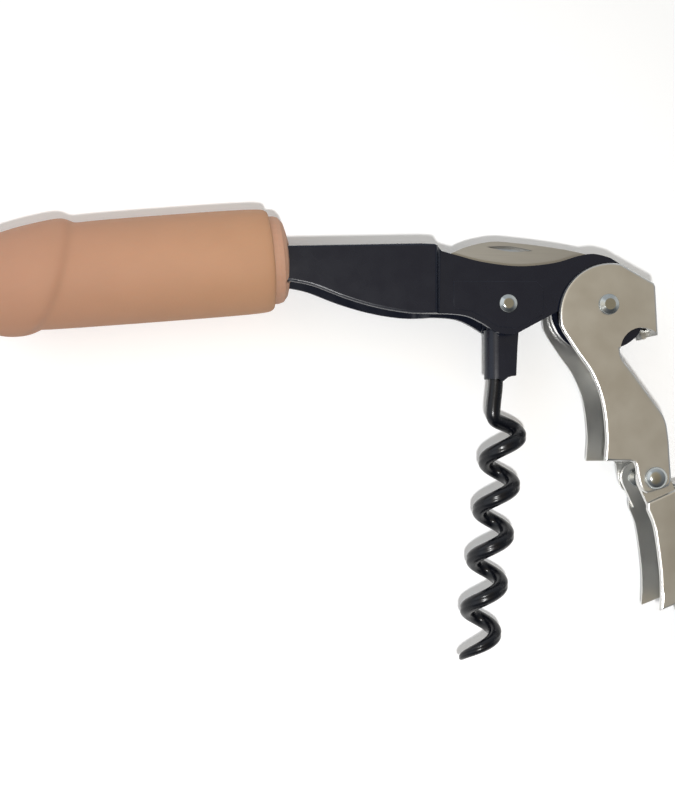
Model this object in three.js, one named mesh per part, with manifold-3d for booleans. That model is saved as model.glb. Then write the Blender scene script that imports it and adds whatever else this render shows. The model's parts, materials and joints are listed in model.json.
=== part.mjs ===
// Double-hinged wine bottle opener, lying on its side.
// Millimetres. +X runs from the grip to the lever, +Y from the worm to the knife, +Z away from the table.
// The outlines are drawn with the lever pivot at x = 0, y = 0 and the middle plane of the tool at z = 0.

import * as THREE from "three";
import { mergeVertices } from "three/addons/utils/BufferGeometryUtils.js";
import Module from "manifold-3d";

const wasm = await Module();
wasm.setup();

// Driving dimensions of the body
const pivotSpacing = 19.1;
const bodyReach = 60;
const bodyRise = 10.8;
const sheet = 1.0;
const handleHalfWidth = 5.5;
const noseHalfWidth = 4.2;
const noseRadius = 8.4;
const bellyDrop = 5.8;
const bendRadius = 0.5;

// Driving dimensions of the lever
const leverHalfWidth = 5.7;
const firstReach = 29.5;
const headRadiusShare = 0.3458;
const capNotchRadius = 4.4;
const stepRivetXShare = 0.305;
const stepRivetBelow = 3.2;
const secondLength = 24.7;
const secondHalfWidth = 5.2;
const earRadius = 3.1;
const joggleGap = 3.5;
const toothReach = 2.2;
const toothRise = 1.5;
const toothDrop = 0.5;
const toothWidth = 3.0;
const joggleBand = 1.5;

// Driving dimensions of the worm, its carrier and the knife
const wireRadius = 1.5;
const coilRadius = 2.9;
const coilPitch = 9.28;
const coilTurns = 4.55;
const shankX = 20.4;
const leadX = 21.0;
const shankTop = 6.5;
const coilTop = 24.4;
const coilAxisX = 18.8;
const coilLeanShare = 0.133;
const carrierLength = 14.0;
const carrierSheet = 0.6;
const eyeRadius = 3.8;
const bladeThickness = 1.2;
const bladeReach = 29.3;
const bladeRise = 12.2;
const heelRadius = 6.2;
const nickWidth = 0.9;
const nickDepth = 0.35;
const nickLeanDegrees = 24;

// Driving dimensions of the rivets
const wormShankRadius = 1.25;
const wormHeadRadius = 1.75;
const leverShankRadius = 1.4;
const leverHeadRadius = 1.95;
const stepShankRadius = 1.3;
const stepHeadRadius = 2.15;
const stepTailRadius = 1.9;
const headHeight = 0.7;
const domeHeight = 1.1;
const tailHeight = 0.7;
const headFacetShare = 0.55;
const headRimShare = 0.35;
const washerRadius = 3.2;

// Driving dimensions of the grip
const gripLength = 58;
const gripRadius = 9.7;
const gripStandoff = 3.3;
const gripMouthY = 7.65;
const gripLeanShare = 0.0967;
const coreRadius = 8.1;
const coreLength = 38;
const coreShow = 3.4;
const coreEndWall = 2.0;
const ridgeSkew = 9.5;
const tongueInset = 0.6;

// Clearances
const holeGap = 0.1;
const turningGap = 0.3;
const seatGap = 0.2;
const gripFit = 0.3;
const overrun = 5;

// Sizes that follow from the ones above
const tangLength = coreLength - coreEndWall;
const gripMouthX = bodyReach + gripStandoff;
const headRadius = firstReach * headRadiusShare;
const handleGap = handleHalfWidth - sheet;
const noseGap = noseHalfWidth - sheet;
const leverGap = leverHalfWidth - sheet;
const secondGap = secondHalfWidth - sheet;
const earHalfWidth = leverGap - turningGap;
const earGap = earHalfWidth - sheet;
const carrierBore = wireRadius + holeGap;
const carrierHalfWidth = carrierBore + carrierSheet;
const wormPivot = new THREE.Vector2(-pivotSpacing, 0);
const leverPivot = new THREE.Vector2(0, 0);
const stepPivot = new THREE.Vector2(firstReach * stepRivetXShare, -(firstReach + stepRivetBelow));

// Facet counts
const roundSides = 28;
const boreSides = 24;
const curveSteps = 5;
const bendSteps = 2;
const coilStepsPerTurn = 22;
const gripSides = 40;

// Finishes
const blackPaint = new THREE.MeshStandardMaterial({ color: 0x23242b, roughness: 0.25, metalness: 0.0 });
const nickelPlate = new THREE.MeshStandardMaterial({ color: 0xb5aa98, roughness: 0.22, metalness: 1.0 });
const rivetSteel = new THREE.MeshStandardMaterial({ color: 0xa9a49b, roughness: 0.3, metalness: 1.0 });
const blackCoat = new THREE.MeshStandardMaterial({ color: 0x1b1b1f, roughness: 0.2, metalness: 0.0 });
const softSkin = new THREE.MeshStandardMaterial({ color: 0xcf9f82, roughness: 0.6, metalness: 0.0 });
const washerSteel = new THREE.MeshStandardMaterial({ color: 0x9b9b9b, roughness: 0.4, metalness: 1.0 });

// Solids from closed meshes, and meshes from solids
function solid(geometry) {
  const bare = geometry.clone();
  bare.deleteAttribute("normal");
  bare.deleteAttribute("uv");
  const welded = mergeVertices(bare);
  const vertProperties = new Float32Array(welded.attributes.position.array);
  const triVerts = new Uint32Array(welded.index.array);
  return new wasm.Manifold(new wasm.Mesh({ numProp: 3, vertProperties, triVerts }));
}

function piece(name, shape, material) {
  const { numProp, vertProperties, triVerts } = shape.getMesh();
  const geometry = new THREE.BufferGeometry();
  const positions = new Float32Array((vertProperties.length / numProp) * 3);
  for (let i = 0; i < positions.length / 3; i += 1) {
    positions.set(vertProperties.subarray(i * numProp, i * numProp + 3), i * 3);
  }
  geometry.setAttribute("position", new THREE.BufferAttribute(positions, 3));
  geometry.setIndex(new THREE.BufferAttribute(new Uint32Array(triVerts), 1));
  geometry.computeVertexNormals();
  const mesh = new THREE.Mesh(geometry, material);
  mesh.name = name;
  return mesh;
}

// Points given as shares of a width and a height
function spread(shares, width, height) {
  return shares.map(([across, along]) => new THREE.Vector2(across * width, along * height));
}

// A smooth run through a few points
function smooth(points) {
  return new THREE.SplineCurve(points).getPoints((points.length - 1) * curveSteps);
}

// Points on a circle about a centre, from one angle to another
function round(centre, radius, fromDegrees, toDegrees, steps) {
  const points = [];
  for (let i = 0; i <= steps; i += 1) {
    const angle = THREE.MathUtils.degToRad(THREE.MathUtils.lerp(fromDegrees, toDegrees, i / steps));
    const out = new THREE.Vector2(Math.cos(angle), Math.sin(angle));
    points.push(out.multiplyScalar(radius).add(centre));
  }
  return points;
}

// A flat outline pushed up from the middle plane by a depth
function pushed(points, depth) {
  return new THREE.ExtrudeGeometry(new THREE.Shape(points), { depth, bevelEnabled: false });
}

// A flat outline made into a slab between two heights
function slab(points, low, high) {
  return solid(pushed(points, high - low).translate(0, 0, low));
}

// A slab about the middle plane whose outer edges are rounded as a bent or stamped sheet's are
function roundedSlab(points, halfWidth, radius) {
  const geometry = new THREE.ExtrudeGeometry(new THREE.Shape(points), {
    depth: 2 * (halfWidth - radius),
    bevelEnabled: true,
    bevelThickness: radius,
    bevelSize: radius,
    bevelOffset: -radius,
    bevelSegments: bendSteps,
  });
  geometry.translate(0, 0, radius - halfWidth);
  return solid(geometry);
}

// A round bar along Z
function bar(centre, radius, low, high, sides = roundSides) {
  const geometry = new THREE.CylinderGeometry(radius, radius, high - low, sides);
  geometry.rotateX(Math.PI / 2);
  geometry.translate(centre.x, centre.y, (low + high) / 2);
  return solid(geometry);
}

// A line of points moved sideways by a distance, to the left of its direction
function beside(points, distance) {
  return points.map((point, i) => {
    const before = points[Math.max(i - 1, 0)];
    const after = points[Math.min(i + 1, points.length - 1)];
    const along = after.clone().sub(before).normalize();
    return new THREE.Vector2(point.x - along.y * distance, point.y + along.x * distance);
  });
}

// A rivet turned about Z: profile pairs are a radius and a height
function turned(centre, profile, sides = roundSides) {
  const geometry = new THREE.LatheGeometry(profile.map(([r, z]) => new THREE.Vector2(r, z)), sides);
  geometry.rotateX(Math.PI / 2);
  geometry.translate(centre.x, centre.y, 0);
  return solid(geometry);
}

// Body: one folded sheet, closed along the top of the handle and open along the belly
const bellyShares = [
  [-1.0, 0.3], [-0.933, 0.23], [-0.833, 0.03], [-0.733, -0.12],
  [-0.625, -0.205], [-0.517, -0.195], [-0.45, -0.23], [-0.4, -0.35],
];
const knifeWellShares = [
  [0.015, 0.84], [-0.038, 0.9], [-0.09, 0.855], [-0.17, 0.722],
  [-0.283, 0.653], [-0.4, 0.713], [-0.483, 0.82], [-0.53, 0.885],
];
const webEndShare = 0.545;
const webShares = [[-webEndShare, 0.965], [-0.555, 0.995], [-0.6, 1.0], [-0.75, 0.965], [-1.0, 0.905]];
const tangTopShare = 0.8;
const tangFootShare = 0.13;
const bellyTurnDegrees = [-118, -70];
const noseTurnDegrees = [185, 428];
const joggleStartShare = 0.595;
const joggleEndShare = 0.54;

const tangX = -(bodyReach + tangLength);
const belly = smooth(spread(bellyShares, bodyReach, bodyRise));
const well = smooth(spread(knifeWellShares, bodyReach, bodyRise));
const webTop = spread(webShares, bodyReach, bodyRise);
const tangTop = new THREE.Vector2(tangX, tangTopShare * bodyRise);
const tangFoot = new THREE.Vector2(tangX, tangFootShare * bodyRise);

function bodyOutline() {
  return [
    tangFoot,
    ...belly,
    ...round(wormPivot, bellyDrop, bellyTurnDegrees[0], bellyTurnDegrees[1], curveSteps),
    ...round(leverPivot, noseRadius, noseTurnDegrees[0], noseTurnDegrees[1], roundSides),
    ...well,
    ...webTop,
    tangTop,
  ];
}

// Plan of the sheet seen from above: wide along the handle, joggled inwards to fit inside the lever
function planPrism(handleSide, noseSide) {
  const far = noseRadius + overrun;
  const back = tangX - overrun;
  const start = -joggleStartShare * bodyReach;
  const end = -joggleEndShare * bodyReach;
  const side = [[back, handleSide], [start, handleSide], [end, noseSide], [far, noseSide]];
  const otherSide = side.map(([x, z]) => [x, -z]).reverse();
  const outline = [...side, ...otherSide].map(([x, z]) => new THREE.Vector2(x, -z));
  const height = 2 * (bodyRise + noseRadius);
  const geometry = pushed(outline, height);
  geometry.rotateX(-Math.PI / 2);
  geometry.translate(0, -height / 2, 0);
  return solid(geometry);
}

// The room under the handle's web, and over the whole nose where the sheet has no web
function underWeb() {
  const under = beside(webTop, sheet);
  const low = -(bodyRise + overrun);
  const high = bodyRise + overrun;
  const far = noseRadius + overrun;
  const underTang = tangTop.y - sheet;
  const openX = -webEndShare * bodyReach;
  return slab([
    new THREE.Vector2(tangX - overrun, low),
    new THREE.Vector2(far, low),
    new THREE.Vector2(far, high),
    new THREE.Vector2(openX, high),
    ...under,
    new THREE.Vector2(tangX - overrun, underTang),
  ], -handleHalfWidth, handleHalfWidth);
}

function makeBody() {
  let body = roundedSlab(bodyOutline(), handleHalfWidth, bendRadius);
  body = body.intersect(planPrism(handleHalfWidth + overrun, noseHalfWidth));
  const room = planPrism(handleGap, noseGap).intersect(underWeb());
  body = body.subtract(room);
  const across = handleHalfWidth + overrun;
  body = body.subtract(bar(wormPivot, wormShankRadius + holeGap, -across, across, boreSides));
  body = body.subtract(bar(leverPivot, leverShankRadius + holeGap, -across, across, boreSides));
  return piece("body_channel", body, blackPaint);
}

// Grip: a soft sleeve over a firm core that holds the tang of the body
const sleeveShares = [
  [0.0, 0.86], [0.012, 0.95], [0.045, 0.99], [0.2, 1.0], [0.43, 0.99], [0.565, 0.98], [0.59, 0.98],
  [0.61, 1.01], [0.63, 1.05], [0.653, 1.065], [0.69, 1.045], [0.76, 0.98], [0.83, 0.885],
  [0.895, 0.75], [0.95, 0.56], [0.985, 0.32], [1.0, 0.0],
];
const skewFromShare = 0.3;
const skewToShare = 0.6;
const skewPower = 1.4;
const crestShare = 0.653;

// Puts a piece turned about the grip's own axis onto the leaning axis of the handle
function placeOnGripAxis(geometry) {
  geometry.rotateZ(Math.PI / 2);
  geometry.rotateZ(Math.atan(gripLeanShare));
  geometry.translate(-gripMouthX, gripMouthY, 0);
  return geometry;
}

function lathe(profile, sides) {
  return new THREE.LatheGeometry(profile.map(([radius, along]) => new THREE.Vector2(radius, along)), sides);
}

function makeSleeve() {
  const outer = sleeveShares.map(([along, radius]) => [radius * gripRadius, along * gripLength]);
  const shell = lathe([[0, 0], ...outer], gripSides);
  const points = shell.attributes.position;
  for (let i = 0; i < points.count; i += 1) {
    const along = points.getY(i) / gripLength;
    const grown = THREE.MathUtils.smoothstep(along, skewFromShare, skewToShare);
    const faded = 1 - THREE.MathUtils.smoothstep(along, crestShare, 1);
    const out = Math.hypot(points.getX(i), points.getZ(i)) || 1;
    const below = 1 - Math.sqrt(Math.max(0, 1 + points.getX(i) / out) / 2);
    points.setY(i, points.getY(i) + ridgeSkew * below ** skewPower * grown * faded);
  }
  const boreRadius = coreRadius + gripFit;
  const bore = lathe(
    [[0, -overrun], [boreRadius, -overrun], [boreRadius, coreLength + gripFit], [0, coreLength + gripFit]],
    gripSides,
  );
  const sleeve = solid(placeOnGripAxis(shell)).subtract(solid(placeOnGripAxis(bore)));
  return piece("grip_sleeve", sleeve, softSkin);
}

// A block along the tang, grown or shrunk by a margin and reaching past the tang's end
function tangBlock(margin, roof, halfWidth, past) {
  const mouth = -bodyReach + overrun;
  const neckTop = webTop[webTop.length - 1].y;
  const neckFoot = belly[0].y;
  return slab([
    new THREE.Vector2(tangX - past, tangFoot.y - margin),
    new THREE.Vector2(-bodyReach, neckFoot - margin),
    new THREE.Vector2(mouth, neckFoot - margin),
    new THREE.Vector2(mouth, neckTop + roof),
    new THREE.Vector2(-bodyReach, neckTop + roof),
    new THREE.Vector2(tangX - past, tangTop.y + roof),
  ], -halfWidth, halfWidth);
}

const coreFaceShares = [[0, 1.0], [0.55, 0.93], [0.86, 0.72], [0.97, 0.5], [1.0, 0.25]];

function makeCore() {
  const face = coreFaceShares.map(([radius, along]) => [radius * coreRadius, -along * coreShow]);
  const profile = [...face, [coreRadius, coreLength], [0, coreLength]];
  const core = solid(placeOnGripAxis(lathe(profile, gripSides)));
  const around = tangBlock(gripFit, gripFit, handleHalfWidth + gripFit, gripFit);
  const tongue = tangBlock(-gripFit, -(sheet + tongueInset), handleGap - gripFit, overrun);
  return piece("grip_core", core.subtract(around.subtract(tongue)), softSkin);
}

// Rivets: a shank through the plates with a low turned head at each end
function headProfile(shankRadius, headRadius, seat, rise) {
  const rim = seat + rise * headRimShare;
  const top = seat + rise;
  return [[shankRadius, seat], [headRadius, seat], [headRadius, rim], [headRadius * headFacetShare, top]];
}

function throughRivet(name, centre, shankRadius, headRadius, seat) {
  const upper = headProfile(shankRadius, headRadius, seat, headHeight);
  const lower = upper.map(([radius, height]) => [radius, -height]).reverse();
  const profile = [[0, -seat - headHeight], ...lower, ...upper, [0, seat + headHeight]];
  return piece(name, turned(centre, profile), rivetSteel);
}

// A short rivet that joins one lobe to one ear: domed outside, with a small formed tail inside
const domeShares = [[1.0, 0.0], [1.0, 0.25], [0.86, 0.62], [0.6, 0.87], [0.3, 0.97]];

function stepRivet(name, side) {
  const outside = leverHalfWidth + seatGap;
  const inside = earGap - seatGap;
  const dome = domeShares.map(([radius, rise]) => [radius * stepHeadRadius, outside + rise * domeHeight]);
  const profile = [
    [0, inside - tailHeight],
    [stepTailRadius * headFacetShare, inside - tailHeight],
    [stepTailRadius, inside - tailHeight * headRimShare],
    [stepTailRadius, inside],
    [stepShankRadius, inside],
    [stepShankRadius, outside],
    ...dome,
    [0, outside + domeHeight],
  ];
  const placed = side > 0 ? profile : profile.map(([radius, height]) => [radius, -height]).reverse();
  return piece(name, turned(stepPivot, placed), rivetSteel);
}

// A flat ring on a rivet
function washer(name, centre, holeRadius, low, high) {
  const hole = bar(centre, holeRadius, low - overrun, high + overrun, boreSides);
  return piece(name, bar(centre, washerRadius, low, high).subtract(hole), washerSteel);
}

// A round bar along Y at a given x
function uprightBar(x, radius, low, high) {
  const geometry = new THREE.CylinderGeometry(radius, radius, high - low, roundSides);
  geometry.translate(x, (low + high) / 2, 0);
  return solid(geometry);
}

// Worm carrier: a sheet folded round the shank, its two leaves drilled for the worm rivet
const carrierRightShares = [
  [-0.86, -0.3], [-0.875, -0.55], [-0.89, -0.955], [-0.965, -0.97], [-1.02, -1.03],
];
const carrierEyeDegrees = [-30, 215];
const foldTopShare = 0.34;

function makeCarrier() {
  const right = spread(carrierRightShares, pivotSpacing, carrierLength).reverse();
  const foldAxis = -shankX;
  const foldTop = -carrierLength * foldTopShare;
  const foot = -carrierLength;
  const leaves = slab([
    new THREE.Vector2(foldAxis, foot),
    ...right,
    ...round(wormPivot, eyeRadius, carrierEyeDegrees[0], carrierEyeDegrees[1], boreSides),
    new THREE.Vector2(foldAxis - carrierHalfWidth, foldTop),
    new THREE.Vector2(foldAxis, foldTop),
  ], -carrierHalfWidth, carrierHalfWidth);
  const fold = uprightBar(foldAxis, carrierHalfWidth, foot, foldTop);
  const bore = uprightBar(foldAxis, carrierBore, foot - overrun, foldTop + overrun);
  const farLeft = foldAxis - overrun;
  const room = slab([
    new THREE.Vector2(foldAxis, foot - overrun),
    new THREE.Vector2(0, foot - overrun),
    new THREE.Vector2(0, eyeRadius + overrun),
    new THREE.Vector2(farLeft, eyeRadius + overrun),
    new THREE.Vector2(farLeft, foldTop),
    new THREE.Vector2(foldAxis, foldTop),
  ], -carrierBore, carrierBore);
  const across = carrierHalfWidth + overrun;
  const eyeHole = bar(wormPivot, wormShankRadius + holeGap, -across, across, boreSides);
  const carrier = leaves.add(fold).subtract(bore).subtract(room).subtract(eyeHole);
  return piece("worm_carrier", carrier, blackPaint);
}

// Worm: grooved wire that runs down its carrier, swings out to the coil and tapers to a blunt point
const wireShares = [
  [0.84, 0.0], [0.95, 0.34], [0.68, 0.74], [0.28, 0.96], [-0.25, 0.97], [-0.7, 0.71],
  [-0.98, 0.2], [-0.98, -0.2], [-0.7, -0.71], [-0.25, -0.97], [0.28, -0.96], [0.68, -0.74], [0.95, -0.34],
];
const leadTurns = 0.4;
const leadEndShare = 0.35;
const taperTurns = 0.62;
const tipShare = 0.16;
const shankRings = 9;

function coilCentre(turn) {
  const along = turn * coilPitch;
  return new THREE.Vector3(-coilAxisX - along * coilLeanShare, -(coilTop + along), 0);
}

function coilPoint(turn) {
  const angle = 2 * Math.PI * turn;
  const grown = THREE.MathUtils.smoothstep(turn, -leadTurns, 0);
  const eased = THREE.MathUtils.smoothstep(turn, -leadTurns, -leadTurns * leadEndShare);
  const centre = coilCentre(turn);
  const x = THREE.MathUtils.lerp(-leadX, centre.x + Math.cos(angle) * coilRadius, eased);
  return new THREE.Vector3(x, centre.y, Math.sin(angle) * coilRadius * grown);
}

function wormRings() {
  const rings = [];
  const leadY = -(coilTop - leadTurns * coilPitch);
  for (let i = 0; i < shankRings; i += 1) {
    const y = THREE.MathUtils.lerp(-shankTop, leadY, i / shankRings);
    const swung = THREE.MathUtils.smoothstep(-y, carrierLength, -leadY);
    const x = -THREE.MathUtils.lerp(shankX, leadX, swung);
    rings.push({ point: new THREE.Vector3(x, y, 0), outward: new THREE.Vector3(-1, 0, 0), scale: 1 });
  }
  const steps = Math.round((leadTurns + coilTurns) * coilStepsPerTurn);
  for (let i = 0; i <= steps; i += 1) {
    const turn = -leadTurns + i / coilStepsPerTurn;
    const point = coilPoint(turn);
    const outward = point.clone().sub(coilCentre(turn)).normalize();
    const left = (coilTurns - turn) / taperTurns;
    const scale = Math.min(1, tipShare + (1 - tipShare) * Math.sqrt(Math.max(left, 0)));
    rings.push({ point, outward, scale });
  }
  return rings;
}

// A closed tube through rings that share one cross-section
function sweep(rings, section) {
  const positions = [];
  const count = section.length;
  rings.forEach((ring, i) => {
    const before = rings[Math.max(i - 1, 0)].point;
    const after = rings[Math.min(i + 1, rings.length - 1)].point;
    const along = after.clone().sub(before).normalize();
    const outward = ring.outward.clone().addScaledVector(along, -ring.outward.dot(along)).normalize();
    const aside = new THREE.Vector3().crossVectors(along, outward);
    for (const [out, across] of section) {
      const point = ring.point.clone();
      point.addScaledVector(outward, out * ring.scale);
      point.addScaledVector(aside, across * ring.scale);
      positions.push(point.x, point.y, point.z);
    }
  });
  const triangles = [];
  for (let i = 0; i < rings.length - 1; i += 1) {
    for (let j = 0; j < count; j += 1) {
      const next = (j + 1) % count;
      const a = i * count + j;
      const b = i * count + next;
      triangles.push(a, b, a + count, b, b + count, a + count);
    }
  }
  const last = (rings.length - 1) * count;
  for (let j = 1; j < count - 1; j += 1) {
    triangles.push(0, j + 1, j, last, last + j, last + j + 1);
  }
  const geometry = new THREE.BufferGeometry();
  geometry.setAttribute("position", new THREE.Float32BufferAttribute(positions, 3));
  geometry.setIndex(triangles);
  return geometry;
}

function makeWorm() {
  const section = wireShares.map(([out, across]) => [out * wireRadius, across * wireRadius]);
  return piece("worm", solid(sweep(wormRings(), section)), blackCoat);
}

// Foil knife: a flat blade on the lever rivet, folded into the open top of the body
const spineShares = [
  [0.11, 0.47], [0.01, 0.74], [-0.13, 0.855], [-0.35, 0.935],
  [-0.57, 0.985], [-0.7, 1.0], [-0.81, 0.96], [-0.91, 0.89], [-1.0, 0.79],
];
const edgeShares = [[-0.99, 0.72], [-0.88, 0.48], [-0.7, 0.39], [-0.45, 0.37], [-0.27, 0.33], [-0.2, 0.05]];
const heelDegrees = [190, 415];
const nickFromShare = 0.757;
const nickToShare = 0.45;
const nickRiseShare = 0.9;
const nickDropShare = 0.045;

// A lens-shaped cut for a fingernail: its floor leans, so it is deepest along the upper side
function nailNick(face) {
  const from = new THREE.Vector2(-nickFromShare * bladeReach, nickRiseShare * bladeRise);
  const to = new THREE.Vector2(-nickToShare * bladeReach, (nickRiseShare - nickDropShare) * bladeRise);
  const half = from.distanceTo(to) / 2;
  const start = new THREE.Vector2(-half, 0);
  const end = new THREE.Vector2(half, 0);
  const lower = smooth([start, new THREE.Vector2(0, -nickWidth / 2), end]);
  const upper = smooth([end, new THREE.Vector2(0, nickWidth / 2), start]).slice(1, -1);
  const geometry = pushed([...lower, ...upper], overrun);
  geometry.rotateX(THREE.MathUtils.degToRad(-nickLeanDegrees));
  geometry.rotateZ(Math.atan2(to.y - from.y, to.x - from.x));
  geometry.translate((from.x + to.x) / 2, (from.y + to.y) / 2, face - nickDepth);
  return solid(geometry);
}

function makeKnife() {
  const spine = smooth(spread(spineShares, bladeReach, bladeRise));
  const edge = smooth(spread(edgeShares, bladeReach, bladeRise));
  const heel = round(leverPivot, heelRadius, heelDegrees[0], heelDegrees[1], roundSides);
  const half = bladeThickness / 2;
  let blade = slab([...heel, ...spine, ...edge], -half, half);
  blade = blade.subtract(bar(leverPivot, leverShankRadius + holeGap, -overrun, overrun, boreSides));
  return piece("knife_blade", blade.subtract(nailNick(half)), nickelPlate);
}

// First arm of the lever: two plates and a web along the back, notched for a crown cap
const headCentreShares = [0.024, -0.078];
const headDegrees = [80, 190];
const innerEdgeShares = [
  [-0.295, -0.18], [-0.207, -0.308], [-0.115, -0.437], [-0.047, -0.61], [-0.02, -0.83], [-0.03, -1.0],
];
const lobeShares = [
  [0.139, -1.0], [0.166, -1.006], [0.178, -1.03], [0.186, -1.085], [0.2, -1.15],
  [0.222, -1.19], [0.25, -1.205], [0.37, -1.171], [0.398, -1.158], [0.412, -1.13],
];
const backShares = [
  [0.414, -1.095], [0.407, -0.99], [0.397, -0.84], [0.373, -0.725], [0.31, -0.633],
  [0.234, -0.532], [0.149, -0.42], [0.092, -0.345], [0.077, -0.285],
];
const notchDegrees = [175, 43];
const notchCentreShares = [0.225, -0.293];
const shoulderShares = [[0.319, 0.122], [0.309, 0.144]];
const lipShares = [0.334, -0.2];
const webFootShare = 0.35;
const tipFromShare = 0.7;
const tipToShare = 0.5;

function firstArmBack() {
  return smooth(spread(backShares, firstReach, firstReach));
}

function capNotch() {
  const centre = new THREE.Vector2(notchCentreShares[0] * firstReach, notchCentreShares[1] * firstReach);
  return round(centre, capNotchRadius, notchDegrees[0], notchDegrees[1], boreSides / 2);
}

function firstArmOutline() {
  const centre = new THREE.Vector2(headCentreShares[0] * firstReach, headCentreShares[1] * firstReach);
  return [
    ...round(centre, headRadius, headDegrees[0], headDegrees[1], roundSides),
    ...smooth(spread(innerEdgeShares, firstReach, firstReach)),
    ...spread(lobeShares, firstReach, firstReach),
    ...firstArmBack(),
    new THREE.Vector2(lipShares[0] * firstReach, lipShares[1] * firstReach),
    ...spread(shoulderShares, firstReach, firstReach),
  ];
}

// The room between two plates, bounded by the inner face of a back web that is bent from them
function roomBehind(back, gap, thickness, farLeft) {
  const inner = beside(back, thickness);
  const first = inner[0];
  const last = inner[inner.length - 1];
  return slab([
    new THREE.Vector2(farLeft, first.y - overrun),
    new THREE.Vector2(first.x, first.y - overrun),
    ...inner,
    new THREE.Vector2(last.x, last.y + overrun),
    new THREE.Vector2(farLeft, last.y + overrun),
  ], -gap, gap);
}

// Box given by two corners
function block(low, high) {
  const geometry = new THREE.BoxGeometry(high[0] - low[0], high[1] - low[1], high[2] - low[2]);
  geometry.translate((low[0] + high[0]) / 2, (low[1] + high[1]) / 2, (low[2] + high[2]) / 2);
  return solid(geometry);
}

function makeFirstArm() {
  let arm = roundedSlab(firstArmOutline(), leverHalfWidth, bendRadius);
  const back = firstArmBack();
  const farLeft = -(headRadius + overrun);
  const legBack = back.filter((point) => point.y < -webFootShare * firstReach);
  const lowerRoom = roomBehind(legBack, leverGap, sheet, farLeft);
  const cap = capNotch().pop();
  const shoulderX = shoulderShares[0][0] * firstReach;
  const shoulderY = shoulderShares[0][1] * firstReach;
  const upperRoom = slab([
    new THREE.Vector2(farLeft, -webFootShare * firstReach),
    new THREE.Vector2(cap.x - sheet, -webFootShare * firstReach),
    new THREE.Vector2(cap.x - sheet, cap.y),
    new THREE.Vector2(shoulderX - sheet, shoulderY),
    new THREE.Vector2(shoulderX - sheet, headRadius + overrun),
    new THREE.Vector2(farLeft, headRadius + overrun),
  ], -leverGap, leverGap);
  const earTop = stepPivot.y + earRadius + 2 * turningGap;
  const farRight = stepPivot.x + earRadius + overrun;
  const earRoom = block([farLeft, stepPivot.y - headRadius, -leverGap], [farRight, earTop, leverGap]);
  arm = arm.subtract(lowerRoom).subtract(upperRoom).subtract(earRoom);
  const throat = back[back.length - 1];
  const across = leverHalfWidth + overrun;
  const notch = [
    ...capNotch(),
    new THREE.Vector2(cap.x + overrun, cap.y),
    new THREE.Vector2(cap.x + overrun, throat.y),
    throat,
  ];
  arm = arm.subtract(slab(notch, -across, across));
  arm = arm.add(capTooth(cap.x, cap.y));
  arm = arm.subtract(bar(leverPivot, leverShankRadius + holeGap, -across, across, boreSides));
  arm = arm.subtract(bar(stepPivot, stepShankRadius + holeGap, -across, across, boreSides));
  return piece("lever_first_arm", arm, nickelPlate);
}

// The tooth at the foot of the upper web, bent inwards to hook under a crown cap
function capTooth(x, y) {
  return slab([
    new THREE.Vector2(x, y + toothRise / 2),
    new THREE.Vector2(x - toothReach, y + toothRise),
    new THREE.Vector2(x - toothReach * tipFromShare, y - toothDrop),
    new THREE.Vector2(x - toothReach * tipToShare, y - toothDrop),
    new THREE.Vector2(x - sheet / 2, y),
  ], -toothWidth / 2, toothWidth / 2);
}

// Second arm: a wider channel below a joggle, with two narrower ears that sit inside the first arm
const secondBackShares = [
  [0.300, -0.036], [0.340, -0.117], [0.375, -0.303], [0.416, -0.535], [0.491, -0.814],
  [0.570, -1.070], [0.598, -1.198],
];
const secondLobeShares = [
  [0.593, -1.256], [0.554, -1.297], [0.484, -1.297], [0.421, -1.251], [0.368, -1.163],
  [0.310, -1.012], [0.282, -0.958], [0.244, -0.935],
];
const secondCornerShares = [0.042, -1.009];
const secondEdgeShares = [
  [0.049, -0.895], [0.047, -0.744], [0.024, -0.535], [-0.004, -0.373], [-0.039, -0.280],
  [-0.055, -0.238], [-0.055, -0.187],
];
const joggleDegrees = 24.2;
const earFlankShare = 0.98;

// Points given as shares of the second arm's length, measured from the step rivet
function fromPivot(shares) {
  return spread(shares, secondLength, secondLength).map((point) => point.add(stepPivot));
}

// A point measured from the step rivet: across and down in the joggle's own direction
function fromStep(across, down) {
  const angle = THREE.MathUtils.degToRad(joggleDegrees);
  const x = stepPivot.x + across * Math.cos(angle) + down * Math.sin(angle);
  const y = stepPivot.y + across * Math.sin(angle) - down * Math.cos(angle);
  return new THREE.Vector2(x, y);
}

function makeSecondArm() {
  const back = smooth(fromPivot(secondBackShares)).reverse();
  const edge = smooth(fromPivot(secondEdgeShares)).reverse();
  const foot = fromPivot([secondCornerShares, ...secondLobeShares.slice().reverse()]);
  let arm = roundedSlab([...edge, ...foot, ...back], secondHalfWidth, bendRadius);
  const farLeft = -headRadius;
  arm = arm.subtract(roomBehind(back, secondGap, sheet, farLeft));
  const flank = earRadius * earFlankShare;
  const ear = slab([
    ...round(stepPivot, earRadius, joggleDegrees, joggleDegrees + 180, boreSides),
    fromStep(-flank, joggleGap + joggleBand),
    fromStep(flank, joggleGap + joggleBand),
  ], -earHalfWidth, earHalfWidth);
  const earRoom = slab([
    fromStep(-overrun - flank, -overrun),
    fromStep(-overrun - flank, joggleGap + joggleBand + overrun),
    fromStep(overrun + flank, joggleGap + joggleBand + overrun),
    fromStep(overrun + flank, -overrun),
  ], -earGap, earGap);
  arm = arm.add(ear.subtract(earRoom));
  const across = leverHalfWidth + overrun;
  arm = arm.subtract(bar(stepPivot, stepShankRadius + holeGap, -across, across, boreSides));
  return piece("lever_second_arm", arm, nickelPlate);
}

// A washer on the front side or on the back side of the middle plane
function sideWasher(name, centre, holeRadius, inner, outer, side) {
  const [low, high] = side > 0 ? [inner, outer] : [-outer, -inner];
  return washer(name, centre, holeRadius, low, high);
}

const washerOuter = noseGap - seatGap;
const wormHole = wormShankRadius + holeGap;
const leverHole = leverShankRadius + holeGap;

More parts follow.
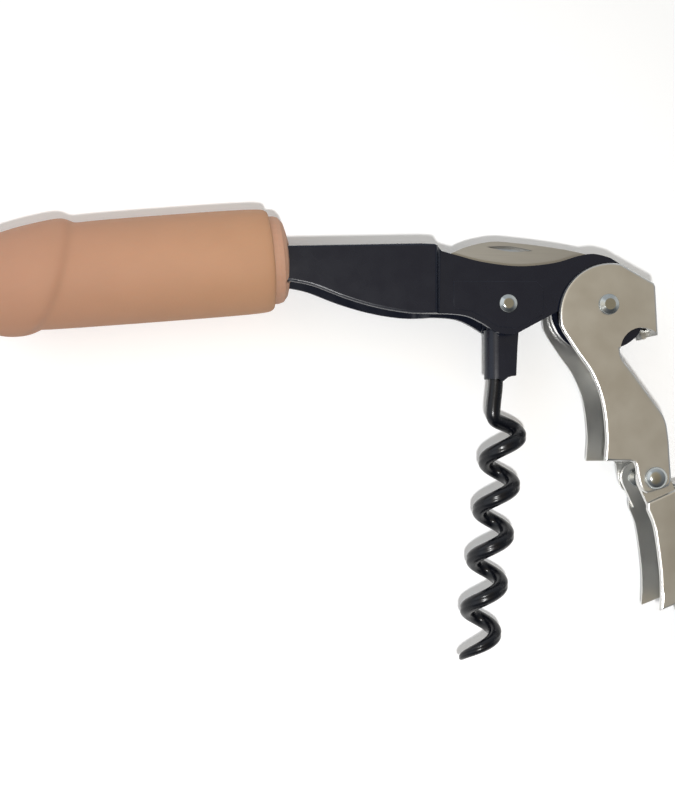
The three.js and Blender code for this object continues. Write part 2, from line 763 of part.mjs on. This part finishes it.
const opener = new THREE.Group();
opener.add(
  makeBody(),
  makeSleeve(),
  makeCore(),
  throughRivet("worm_rivet", wormPivot, wormShankRadius, wormHeadRadius, noseHalfWidth),
  throughRivet("lever_rivet", leverPivot, leverShankRadius, leverHeadRadius, leverHalfWidth + seatGap),
  makeCarrier(),
  makeWorm(),
  makeKnife(),
  makeFirstArm(),
  makeSecondArm(),
);
const carrierSide = carrierHalfWidth + seatGap;
const bladeSide = bladeThickness / 2 + turningGap;
for (const [name, side] of [["front", 1], ["back", -1]]) {
  opener.add(
    stepRivet(`step_rivet_${name}`, side),
    sideWasher(`worm_washer_${name}`, wormPivot, wormHole, carrierSide, washerOuter, side),
    sideWasher(`knife_spacer_${name}`, leverPivot, leverHole, bladeSide, washerOuter, side),
  );
}

// The origin goes to the middle of the tool's footprint on the table
const box = new THREE.Box3().setFromObject(opener);
const middle = box.getCenter(new THREE.Vector3());
opener.position.set(-middle.x, -middle.y, -box.min.z);

export default opener;
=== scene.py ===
# %% [markdown]
# A waiter's corkscrew lies on its side on a white table, seen from nearly straight above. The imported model
# gives every piece its shape and place, and this scene gives each one the finish that its maker gave it.

# %% Load the frame
import json
from math import pi, radians

import bmesh
import bpy
from mathutils import Matrix, Vector

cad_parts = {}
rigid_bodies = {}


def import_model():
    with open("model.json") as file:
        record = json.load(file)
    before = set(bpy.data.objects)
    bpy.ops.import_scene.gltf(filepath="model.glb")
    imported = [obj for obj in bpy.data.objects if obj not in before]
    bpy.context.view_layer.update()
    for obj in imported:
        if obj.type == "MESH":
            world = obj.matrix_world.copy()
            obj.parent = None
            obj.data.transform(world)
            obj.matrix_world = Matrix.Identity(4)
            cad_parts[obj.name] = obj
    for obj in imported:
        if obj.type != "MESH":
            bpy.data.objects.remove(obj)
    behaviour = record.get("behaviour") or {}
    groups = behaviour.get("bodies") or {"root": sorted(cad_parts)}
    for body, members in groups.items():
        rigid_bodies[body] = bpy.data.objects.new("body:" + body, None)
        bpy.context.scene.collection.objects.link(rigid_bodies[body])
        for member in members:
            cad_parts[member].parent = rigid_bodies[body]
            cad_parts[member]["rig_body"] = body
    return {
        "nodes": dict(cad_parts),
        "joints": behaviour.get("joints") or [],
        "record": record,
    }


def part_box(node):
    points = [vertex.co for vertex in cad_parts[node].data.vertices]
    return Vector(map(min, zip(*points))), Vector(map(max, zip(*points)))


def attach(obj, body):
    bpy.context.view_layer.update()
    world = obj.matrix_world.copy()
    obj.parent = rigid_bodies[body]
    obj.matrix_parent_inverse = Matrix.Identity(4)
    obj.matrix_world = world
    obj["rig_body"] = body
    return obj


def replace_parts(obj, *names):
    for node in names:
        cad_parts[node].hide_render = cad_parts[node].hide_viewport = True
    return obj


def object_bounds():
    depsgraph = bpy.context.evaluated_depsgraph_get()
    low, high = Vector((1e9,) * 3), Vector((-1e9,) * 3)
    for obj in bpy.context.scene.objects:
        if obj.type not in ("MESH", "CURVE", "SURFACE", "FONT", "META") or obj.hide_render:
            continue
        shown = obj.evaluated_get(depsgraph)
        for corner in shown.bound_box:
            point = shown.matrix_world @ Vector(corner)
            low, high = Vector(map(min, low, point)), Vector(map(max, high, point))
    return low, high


MM = 0.001
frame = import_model()
nodes = frame["nodes"]
cad_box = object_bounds()
pivots = {joint["name"]: Vector(joint["pos_m"]) for joint in frame["joints"]}
body_of = {name: node["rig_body"] for name, node in nodes.items()}
slot_of = {part["node"]: part["material_slot"] for part in frame["record"]["subparts"]}
print("CAD box, mm:", [[round(value / MM, 1) for value in corner] for corner in cad_box])


# %% [markdown]
# The tool was photographed from a quarter of a metre away, so near edges stand apart from far ones. The
# camera's place is measured from the lever's pivot, and its right and up directions give the small tilt of
# the hand that held it.

# %% Camera
camera_from_lever = Vector((-86.09, -27.39, 230.7)) * MM
camera_right = Vector((0.98847, 0.0, 0.15140))
camera_up = Vector((-0.00542, 0.99936, 0.03539))
photo_height_px = 810
focal_px = 1256
sensor_mm = 36.0


def aim_camera(place, right, up):
    """A camera at a place, turned so that its own axes point along right and up."""
    data = bpy.data.cameras.new("camera")
    data.sensor_width = sensor_mm
    data.lens = sensor_mm * focal_px / photo_height_px
    data.clip_start = 0.01
    camera = bpy.data.objects.new("camera", data)
    bpy.context.scene.collection.objects.link(camera)
    turn = Matrix((right, up, right.cross(up))).transposed().to_4x4()
    camera.matrix_world = Matrix.Translation(place) @ turn
    return camera


bpy.context.scene.camera = aim_camera(pivots["lever_fold"] + camera_from_lever, camera_right, camera_up)
bpy.context.scene.view_settings.view_transform = "Standard"


# %% [markdown]
# Colours are written as the hex values of the finished picture. Blender's shaders work in linear light, so
# one function turns the first into the second. One more adds a node, fills its sockets and returns it.

# %% Colours and nodes
def linear(hex_colour):
    """Linear red, green, blue and alpha of an sRGB colour such as '#c0ffee'."""
    shares = [int(hex_colour[i:i + 2], 16) / 255 for i in (1, 3, 5)]
    return tuple(s / 12.92 if s <= 0.04045 else ((s + 0.055) / 1.055) ** 2.4 for s in shares) + (1.0,)


def add(tree, kind, settings=None, **sockets):
    """A node with its settings, whose sockets take a value or a link from another node's socket."""
    node = tree.nodes.new(kind)
    for name, value in (settings or {}).items():
        setattr(node, name, value)
    for name, value in sockets.items():
        socket = node.inputs[int(name[1:])] if name[0] == "_" else node.inputs[name.replace("_", " ")]
        if isinstance(value, bpy.types.NodeSocket):
            tree.links.new(value, socket)
        else:
            socket.default_value = value
    return node


def new_material(name):
    """An empty material: its node tree, its shader and Object coordinates in millimetres."""
    material = bpy.data.materials.new(name)
    material.use_nodes = True
    tree = material.node_tree
    shader = tree.nodes["Principled BSDF"]
    place = add(tree, "ShaderNodeTexCoord").outputs["Object"]
    in_mm = add(tree, "ShaderNodeVectorMath", {"operation": "SCALE"}, Vector=place, Scale=1 / MM)
    return material, tree, shader, in_mm.outputs["Vector"]


def ramp(tree, value, low, high, start=0.0, end=1.0):
    """Two colours, with value running from start to end between them."""
    between = add(tree, "ShaderNodeMapRange", None, Value=value, From_Min=start, From_Max=end)
    share = between.outputs["Result"]
    mixed = add(tree, "ShaderNodeMix", {"data_type": "RGBA"}, Factor=share, _6=low, _7=high)
    return mixed.outputs[2]


def grain(tree, in_mm, size_mm, detail=3.0, stretch=(1.0, 1.0, 1.0)):
    """Noise whose lumps are about size_mm across, longer where stretch is more than one."""
    shares = tuple(1 / (size_mm * s) for s in stretch)
    placed = add(tree, "ShaderNodeMapping", None, Vector=in_mm, Scale=shares).outputs["Vector"]
    return add(tree, "ShaderNodeTexNoise", None, Vector=placed, Scale=1.0, Detail=detail).outputs["Fac"]


def bump(tree, shader, height, depth_mm, strength=1.0):
    """Relief on a shader: height from 0 to 1 stands for depth_mm."""
    relief = add(tree, "ShaderNodeBump", None, Height=height, Distance=depth_mm * MM, Strength=strength)
    tree.links.new(relief.outputs["Normal"], shader.inputs["Normal"])
    return relief


# %% [markdown]
# The handle is folded sheet, dipped in black stoving enamel. The enamel flows before it sets, so the flats
# have a satin shine with a slight orange peel about a millimetre across. Dust makes some patches a little
# duller.

# %% Black stoving enamel
def black_enamel():
    """Deep blue black with a satin shine."""
    material, tree, shader, in_mm = new_material("black_stoving_enamel")
    shader.inputs["Base Color"].default_value = linear("#0c111f")
    shader.inputs["Specular IOR Level"].default_value = 0.38
    dust = grain(tree, in_mm, 3.0)
    rough = add(tree, "ShaderNodeMapRange", None, Value=dust, To_Min=0.20, To_Max=0.34).outputs["Result"]
    tree.links.new(rough, shader.inputs["Roughness"])
    bump(tree, shader, grain(tree, in_mm, 1.1, detail=1.0), 0.006)
    return material


# %% [markdown]
# The worm has a slick black fluoropolymer coat, which helps it into the cork. It is thin, so it follows
# the drawn wire, and it gives long soft highlights that small rubbed patches break up.

# %% Slick black coat
def slick_coat():
    """Neutral black with small patches of more and of less shine."""
    material, tree, shader, in_mm = new_material("black_fluoropolymer_coat")
    shader.inputs["Base Color"].default_value = linear("#080a10")
    shader.inputs["Specular IOR Level"].default_value = 0.32
    rub = grain(tree, in_mm, 0.8, stretch=(1.0, 1.0, 4.0))
    rough = add(tree, "ShaderNodeMapRange", None, Value=rub, To_Min=0.18, To_Max=0.34).outputs["Result"]
    tree.links.new(rough, shader.inputs["Roughness"])
    bump(tree, shader, grain(tree, in_mm, 0.5), 0.008)
    return material


# %% [markdown]
# The lever is stamped from cold-rolled strip, tumbled and nickel plated. Nickel is a slightly yellow grey.
# The tumbling leaves a satin face with faint clouds some millimetres wide and a few pits.

# %% Nickel plate
def nickel_plate():
    """Satin nickel with clouds that change both tone and shine."""
    material, tree, shader, in_mm = new_material("tumbled_nickel_plate")
    shader.inputs["Metallic"].default_value = 1.0
    clouds = grain(tree, in_mm, 6.0)
    colour = ramp(tree, clouds, linear("#d1d1cf"), linear("#d9d9d6"), 0.35, 0.65)
    tree.links.new(colour, shader.inputs["Base Color"])
    rough = add(tree, "ShaderNodeMapRange", None, Value=clouds, To_Min=0.24, To_Max=0.36).outputs["Result"]
    tree.links.new(rough, shader.inputs["Roughness"])
    bump(tree, shader, grain(tree, in_mm, 0.35), 0.004)
    return material


# %% [markdown]
# The blade is stainless strip, ground along its length by a belt. The grit marks are a hundredth of a
# millimetre wide, too fine to show here, so they are drawn about a fifth of a millimetre wide.

# %% Ground stainless steel
def ground_stainless():
    """Grey steel with fine marks along the blade."""
    material, tree, shader, in_mm = new_material("belt_ground_stainless")
    shader.inputs["Metallic"].default_value = 1.0
    marks = grain(tree, in_mm, 0.2, stretch=(30.0, 1.0, 1.0))
    colour = ramp(tree, marks, linear("#b5b6b6"), linear("#bbbcbb"), 0.3, 0.7)
    tree.links.new(colour, shader.inputs["Base Color"])
    shader.inputs["Roughness"].default_value = 0.34
    bump(tree, shader, marks, 0.003)
    return material


# %% [markdown]
# Rivets are headed from soft steel wire and plated, so their domes shine. Washers and spacers are blanked
# from plain steel strip and never plated, so they stay duller.

# %% Rivet and washer steel
def set_steel(name, colour, roughness, grain_mm):
    """One kind of small steel part, with its own colour, shine and grain."""
    material, tree, shader, in_mm = new_material(name)
    shader.inputs["Base Color"].default_value = linear(colour)
    shader.inputs["Metallic"].default_value = 1.0
    shader.inputs["Roughness"].default_value = roughness
    bump(tree, shader, grain(tree, in_mm, grain_mm), 0.010)
    return material


# %% [markdown]
# The grip is a thermoplastic elastomer, moulded in one colour with a fine spark-eroded texture. It has
# almost no gloss and lets a little light into the surface. It is a touch pinker towards the blind end.

# %% Moulded elastomer
def moulded_elastomer(name, near_colour, far_colour):
    """Soft moulding, one colour by the handle and another at the blind end."""
    material, tree, shader, in_mm = new_material(name)
    along = add(tree, "ShaderNodeSeparateXYZ", None, Vector=in_mm).outputs["X"]
    low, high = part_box("grip_sleeve")
    body_colour = ramp(tree, along, linear(far_colour), linear(near_colour), low.x / MM, high.x / MM)
    patches = grain(tree, in_mm, 9.0)
    shade = add(tree, "ShaderNodeMapRange", None, Value=patches, To_Min=0.94, To_Max=1.06).outputs["Result"]
    tint = add(tree, "ShaderNodeVectorMath", {"operation": "SCALE"}, Vector=body_colour, Scale=shade)
    tree.links.new(tint.outputs["Vector"], shader.inputs["Base Color"])
    shader.inputs["Roughness"].default_value = 0.70
    shader.inputs["Specular IOR Level"].default_value = 0.30
    shader.inputs["Subsurface Weight"].default_value = 0.12
    shader.inputs["Subsurface Radius"].default_value = (1.0, 0.35, 0.2)
    shader.inputs["Subsurface Scale"].default_value = 1.2 * MM
    bump(tree, shader, grain(tree, in_mm, 0.45), 0.02)
    return material


finishes = {
    "black_paint": black_enamel(),
    "black_coat": slick_coat(),
    "nickel_plate": nickel_plate(),
    "blade_steel": ground_stainless(),
    "rivet_steel": set_steel("plated_rivet_steel", "#aeb1af", 0.16, 0.5),
    "washer_steel": set_steel("plain_washer_steel", "#b9b7b2", 0.38, 0.3),
    "soft_skin": moulded_elastomer("peach_elastomer", "#b28767", "#b2856d"),
    "soft_core": moulded_elastomer("peach_elastomer_core", "#b88f77", "#b68d77"),
}
print("finishes:", ", ".join(finishes))


# %% [markdown]
# A stamped edge is never sharp: the punch rolls one side over and tumbling rounds the other. A copy of
# each solid is merged, its flat faces are joined again, and a small bevel catches the light along every
# edge.

# %% Copies with worn edges
merge_distance = 0.001 * MM
flat_degrees = 0.5
sharp_degrees = 30
bevel_steps = 2


def finish_piece(piece, name):
    """Gives a piece the finish and the body of the CAD node that it stands for."""
    piece.data.materials.clear()
    piece.data.materials.append(finishes[slot_of[name]])
    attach(piece, body_of[name])
    return piece


def merged_copy(name):
    """A bmesh of a CAD node whose loose triangles are joined at their corners."""
    shape = bmesh.new()
    shape.from_mesh(nodes[name].data)
    bmesh.ops.remove_doubles(shape, verts=shape.verts, dist=merge_distance)
    return shape


def join_flat_faces(shape):
    """Turns the triangles of each flat face into one face again."""
    bmesh.ops.dissolve_limit(
        shape, angle_limit=radians(flat_degrees), verts=shape.verts, edges=shape.edges,
        use_dissolve_boundaries=False,
    )
    return shape


def new_piece(name, shape, smooth_degrees=32):
    """An object from a bmesh, smooth over its curves and crisp at its corners."""
    mesh = bpy.data.meshes.new(name)
    shape.to_mesh(mesh)
    shape.free()
    mesh.shade_smooth()
    mesh.set_sharp_from_angle(angle=radians(smooth_degrees))
    piece = bpy.data.objects.new(name, mesh)
    bpy.context.scene.collection.objects.link(piece)
    return piece


def round_edges(piece, width_mm):
    """A bevel modifier on the sharp edges, which leaves the flat faces flat."""
    bevel = piece.modifiers.new("worn edge", "BEVEL")
    bevel.width = width_mm * MM
    bevel.segments = bevel_steps
    bevel.limit_method = "ANGLE"
    bevel.angle_limit = radians(sharp_degrees)
    weighted = piece.modifiers.new("flat faces stay flat", "WEIGHTED_NORMAL")
    weighted.keep_sharp = True
    return piece


# %% [markdown]
# The sheet of the body steps in where the wide handle meets the narrow nose. A press bends it there with
# rounded tools, so both bends of the step are rounded more than the cut edges, by a bevel on these edges
# alone.

# %% Step between handle and nose
bend_width_mm = 0.45
bend_segments = 4


def is_bend(edge):
    """True for an edge between a flat side of the body and the slope that faces the nose."""
    normals = [face.normal for face in edge.link_faces]
    return any(normal.x > 0.8 for normal in normals) and any(abs(normal.z) > 0.98 for normal in normals)


def soften_step(shape):
    """Bevels the bends of the step on both sides of the body."""
    bends = [edge for edge in shape.edges if is_bend(edge)]
    bmesh.ops.bevel(
        shape, geom=bends, offset=bend_width_mm * MM, segments=bend_segments, profile=0.5,
        affect="EDGES", material=-1,
    )
    print("bends rounded:", len(bends))


# %% [markdown]
# Each stamped piece and each rivet now gets its dressed copy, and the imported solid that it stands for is
# replaced. The widths are in millimetres: about a seventh of the thickness of the sheet, and less on the
# blade and rivets.

# %% Dressed pieces
edge_widths_mm = {
    "body_channel": 0.16, "lever_first_arm": 0.14, "lever_second_arm": 0.14,
    "worm_carrier": 0.14, "knife_blade": 0.10, "worm_rivet": 0.10, "lever_rivet": 0.10,
    "step_rivet_front": 0.10, "step_rivet_back": 0.10,
}
for node_name, width in edge_widths_mm.items():
    outline = join_flat_faces(merged_copy(node_name))
    if node_name == "body_channel":
        soften_step(outline)
    dressed = round_edges(new_piece(node_name + "_dressed", outline), width)
    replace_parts(finish_piece(dressed, node_name), node_name)
    print(node_name, "edges rounded by", width, "mm")


# %% [markdown]
# The flat nose carries a faint raised panel round the worm's rivet, pressed into the sheet before it was
# folded. It is a thin flat shape with bevelled edges, on both sides of the body.

# %% Raised panel on the nose
panel_corners_mm = [
    (-29.6, 4.0), (-29.6, -1.2), (-26.2, -1.6), (-23.4, -3.0), (-21.2, -4.4), (-17.4, -4.7),
    (-12.3, -2.0), (-12.3, 3.1), (-13.6, 4.25),
]
panel_height = 0.09 * MM
nose_half_width = 4.2 * MM


def raised_panel(side):
    """The panel on the front (side 1) or the back (side -1) of the nose."""
    shape = bmesh.new()
    pivot = pivots["lever_fold"]
    base = nose_half_width - panel_height
    corners = [shape.verts.new(pivot + Vector((x * MM, y * MM, base))) for x, y in panel_corners_mm]
    face = shape.faces.new(corners)
    raised = bmesh.ops.extrude_face_region(shape, geom=[face])["geom"]
    top = [part for part in raised if isinstance(part, bmesh.types.BMVert)]
    bmesh.ops.translate(shape, verts=top, vec=(0, 0, 2 * panel_height))
    if side < 0:
        bmesh.ops.scale(shape, verts=shape.verts, vec=(1, 1, -1), space=Matrix.Translation(-pivot))
    bmesh.ops.recalc_face_normals(shape, faces=shape.faces)
    piece = new_piece("nose_panel_front" if side > 0 else "nose_panel_back", shape)
    return finish_piece(round_edges(piece, panel_height / MM), "body_channel")


for side in (1, -1):
    raised_panel(side)


# %% [markdown]
# The worm is drawn wire with a groove along it, wound on a mandrel. Its solid has a coarse skin of
# triangles. Pairs of them are joined into four-sided faces again, and subdivision then runs smoothly along
# the winding.

# %% Smooth worm
def smooth_copy(name, levels):
    """A merged copy with four-sided faces and a subdivision modifier."""
    shape = merged_copy(name)
    bmesh.ops.join_triangles(
        shape, faces=shape.faces, angle_face_threshold=radians(40), angle_shape_threshold=radians(60)
    )
    piece = new_piece(name + "_smooth", shape, 180)
    finer = piece.modifiers.new("even skin", "SUBSURF")
    finer.levels = finer.render_levels = levels
    return piece


worm = smooth_copy("worm", 2)
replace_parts(finish_piece(worm, "worm"), "worm")
print("worm faces before subdivision:", len(worm.data.polygons))


# %% [markdown]
# The grip's skin is moulded in one shot over its core. Its outline is turned about the grip's axis, and
# then each ring is pushed towards the blind end on its under side, which gives the raised ridge its
# slanting line.

# %% Grip axis
grip_length = 58.0 * MM
grip_radius = 9.7 * MM
grip_lean = 0.0967
grip_mouth = pivots["lever_fold"] + Vector((-63.3, 7.65, 0.0)) * MM
blind_way = Vector((-1.0, -grip_lean, 0.0)).normalized()
top_way = Vector((-blind_way.y, blind_way.x, 0.0)) * -1


# %% Grip skin
skin_profile = [
    (0.0, 0.875), (0.003, 0.93), (0.012, 0.965), (0.03, 0.985), (0.08, 0.995), (0.2, 1.0), (0.45, 0.99),
    (0.54, 0.98), (0.575, 0.97), (0.593, 0.964), (0.605, 0.975), (0.615, 1.01), (0.627, 1.045),
    (0.642, 1.062), (0.662, 1.06), (0.69, 1.04), (0.75, 0.985), (0.82, 0.9), (0.89, 0.765),
    (0.945, 0.58), (0.985, 0.32), (1.0, 0.0),
]
skew_m = 9.5 * MM
skew_power = 1.4
skew_rise = (0.3, 0.6)
skew_fade = (0.653, 1.0)
skin_turns = 96


def eased(value, start, end):
    """0 below start, 1 above end and a soft step between."""
    share = min(max((value - start) / (end - start), 0.0), 1.0)
    return share * share * (3 - 2 * share)


def turned_skin(profile, steps):
    """The profile spun about the grip's axis, with a mouth that turns in to the core."""
    shape = bmesh.new()
    rim = [shape.verts.new(grip_mouth + blind_way * along * grip_length + top_way * radius * grip_radius)
           for along, radius in profile]
    edges = [shape.edges.new(pair) for pair in zip(rim, rim[1:])]
    bmesh.ops.spin(shape, geom=rim + edges, cent=grip_mouth, axis=blind_way, angle=2 * pi, steps=steps,
                   use_merge=True, use_duplicate=False)
    bmesh.ops.remove_doubles(shape, verts=shape.verts, dist=0.002 * MM)
    return shape


def push_under_side(shape):
    """Slides the under side of each ring towards the blind end, most of all at the ridge."""
    for vert in shape.verts:
        arm = vert.co - grip_mouth
        along = arm.dot(blind_way) / grip_length
        across = arm - blind_way * arm.dot(blind_way)
        up_share = min(across.normalized().dot(top_way), 1.0) if across.length > 0.01 * MM else 1.0
        below = 1 - (max(0.0, 1 + up_share) / 2) ** 0.5
        amount = eased(along, *skew_rise) * (1 - eased(along, *skew_fade))
        vert.co += blind_way * skew_m * below ** skew_power * amount


def make_skin():
    """The finished skin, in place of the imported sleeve."""
    shape = turned_skin(skin_profile, skin_turns)
    push_under_side(shape)
    mouth_edges = [edge for edge in shape.edges if edge.is_boundary]
    bmesh.ops.holes_fill(shape, edges=mouth_edges)
    bmesh.ops.recalc_face_normals(shape, faces=shape.faces)
    piece = new_piece("grip_skin", shape, 60)
    finer = piece.modifiers.new("soft skin", "SUBSURF")
    finer.levels = finer.render_levels = 1
    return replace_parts(finish_piece(piece, "grip_sleeve"), "grip_sleeve")


skin = make_skin()
print("skin faces:", len(skin.data.polygons))


# %% [markdown]
# The washers, the spacers and the core hardly show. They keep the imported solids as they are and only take
# a finish.

# %% Washers, spacers and core
for node_name, node in nodes.items():
    if not node.hide_render:
        node.data.materials.clear()
        node.data.materials.append(finishes[slot_of[node_name]])


# %% [markdown]
# The table is white card. Near the tool it is lit by the lamp and takes its soft shadow. The lamp doesn't
# reach far, so further out the card glows a little for the camera and for reflections, and the ground
# stays plain white.

# %% Table
table_side_m = 12.0
table_thickness_m = 0.01
glow_starts_mm = 110.0
glow_full_mm = 280.0
glow_near = 0.04
glow_far = 0.7


def white_table(side_m, thickness_m):
    """A square card whose top is at height zero."""
    shape = bmesh.new()
    below = Matrix.Translation((0, 0, -thickness_m / 2))
    flat = below @ Matrix.Diagonal((side_m, side_m, thickness_m, 1.0))
    bmesh.ops.create_cube(shape, size=1.0, matrix=flat)
    table = new_piece("table", shape)
    material, tree, shader, in_mm = new_material("white_card")
    shader.inputs["Roughness"].default_value = 0.8
    rays = add(tree, "ShaderNodeLightPath")
    seen = add(tree, "ShaderNodeMath", {"operation": "MAXIMUM"}, _0=rays.outputs["Is Camera Ray"],
               _1=rays.outputs["Is Glossy Ray"]).outputs["Value"]
    tree.links.new(ramp(tree, seen, linear("#f2f2f2"), linear("#ffffff")), shader.inputs["Base Color"])
    far = add(tree, "ShaderNodeVectorMath", {"operation": "LENGTH"}, _0=in_mm).outputs["Value"]
    glow = add(tree, "ShaderNodeMapRange", None, Value=far, From_Min=glow_starts_mm, From_Max=glow_full_mm,
               To_Min=glow_near, To_Max=glow_far).outputs["Result"]
    lift = add(tree, "ShaderNodeMath", {"operation": "MULTIPLY"}, _0=seen, _1=glow).outputs["Value"]
    tree.links.new(lift, shader.inputs["Emission Strength"])
    shader.inputs["Emission Color"].default_value = (1, 1, 1, 1)
    table.data.materials.append(material)
    return table


white_table(table_side_m, table_thickness_m)


# %% [markdown]
# The light is a small soft box held below and to the right of the lens, so each piece throws a short
# shadow that shows above it in the picture. It is held as far away as the lens, so near and far pieces are
# lit alike.

# %% Soft box
lamp_from_lens = Vector((0.011, -0.026, 0.0))
lamp_size_m = 0.009
lamp_watts = 0.40


def soft_box(name, place, target, size_m, watts):
    """A round area lamp at a place, turned to the target."""
    data = bpy.data.lights.new(name, "AREA")
    data.shape = "DISK"
    data.size = size_m
    data.energy = watts
    light = bpy.data.objects.new(name, data)
    bpy.context.scene.collection.objects.link(light)
    turn = (target - place).to_track_quat("-Z", "Y").to_matrix().to_4x4()
    light.matrix_world = Matrix.Translation(place) @ turn
    return light


centre = (Vector(cad_box[0]) + Vector(cad_box[1])) / 2
lens = bpy.context.scene.camera.matrix_world.translation
soft_box("soft_box", lens + lamp_from_lens, centre, lamp_size_m, lamp_watts)


# %% [markdown]
# The rest of the light comes from a soft sky: warm overhead, where the flat plates mirror it, cooler lower
# down, and brighter on the window's side. The camera itself sees plain white walls all round, and so does
# metal that mirrors what is near the horizon.

# %% Sky
bright_way = Vector((-0.3, 0.75, 0.0))
window_way = Vector((-0.80, 0.30, 0.52))
window_level = 1.5


def soft_sky(overhead, around, level, contrast):
    """Light from the sky: warm overhead, cooler lower down, brighter on one side, with a window."""
    world = bpy.data.worlds.new("sky")
    world.use_nodes = True
    tree = world.node_tree
    way = add(tree, "ShaderNodeTexCoord").outputs["Generated"]
    height = add(tree, "ShaderNodeSeparateXYZ", None, Vector=way).outputs["Z"]
    colour = ramp(tree, height, linear(around), linear(overhead), 0.75, 0.9)
    dot = {"operation": "DOT_PRODUCT"}
    towards = add(tree, "ShaderNodeVectorMath", dot, _0=way, _1=bright_way.normalized()).outputs["Value"]
    side = add(tree, "ShaderNodeMapRange", None, Value=towards, From_Min=-1.0, To_Min=1 - contrast,
               To_Max=1 + contrast).outputs["Result"]
    facing = add(tree, "ShaderNodeVectorMath", dot, _0=way, _1=window_way.normalized()).outputs["Value"]
    window = add(tree, "ShaderNodeMapRange", None, Value=facing, From_Min=0.80, From_Max=0.88,
                 To_Max=window_level).outputs["Result"]
    lit = add(tree, "ShaderNodeMath", {"operation": "ADD"}, _0=side, _1=window).outputs["Value"]
    background = tree.nodes["Background"]
    tree.links.new(colour, background.inputs["Color"])
    strength = add(tree, "ShaderNodeMath", {"operation": "MULTIPLY"}, _0=lit, _1=level).outputs["Value"]
    tree.links.new(strength, background.inputs["Strength"])
    bpy.context.scene.world = world
    return tree, height


def white_walls(tree, height):
    """White all round for the camera, and near the horizon for metal that mirrors it."""
    rays = add(tree, "ShaderNodeLightPath")
    low = add(tree, "ShaderNodeMapRange", None, Value=height, From_Min=0.2, From_Max=0.35, To_Min=1.0,
              To_Max=0.0).outputs["Result"]
    mirrored = add(tree, "ShaderNodeMath", {"operation": "MULTIPLY"}, _0=rays.outputs["Is Glossy Ray"],
                   _1=low).outputs["Value"]
    seen = add(tree, "ShaderNodeMath", {"operation": "MAXIMUM"}, _0=rays.outputs["Is Camera Ray"],
               _1=mirrored).outputs["Value"]
    walls = add(tree, "ShaderNodeBackground", None, Color=(1, 1, 1, 1), Strength=1.0)
    lit = tree.nodes["Background"].outputs["Background"]
    both = add(tree, "ShaderNodeMixShader", None, Fac=seen, _1=lit, _2=walls.outputs["Background"])
    tree.links.new(both.outputs["Shader"], tree.nodes["World Output"].inputs["Surface"])


sky_tree, sky_height = soft_sky(overhead="#ffecca", around="#eef4fb", level=0.48, contrast=0.90)
white_walls(sky_tree, sky_height)
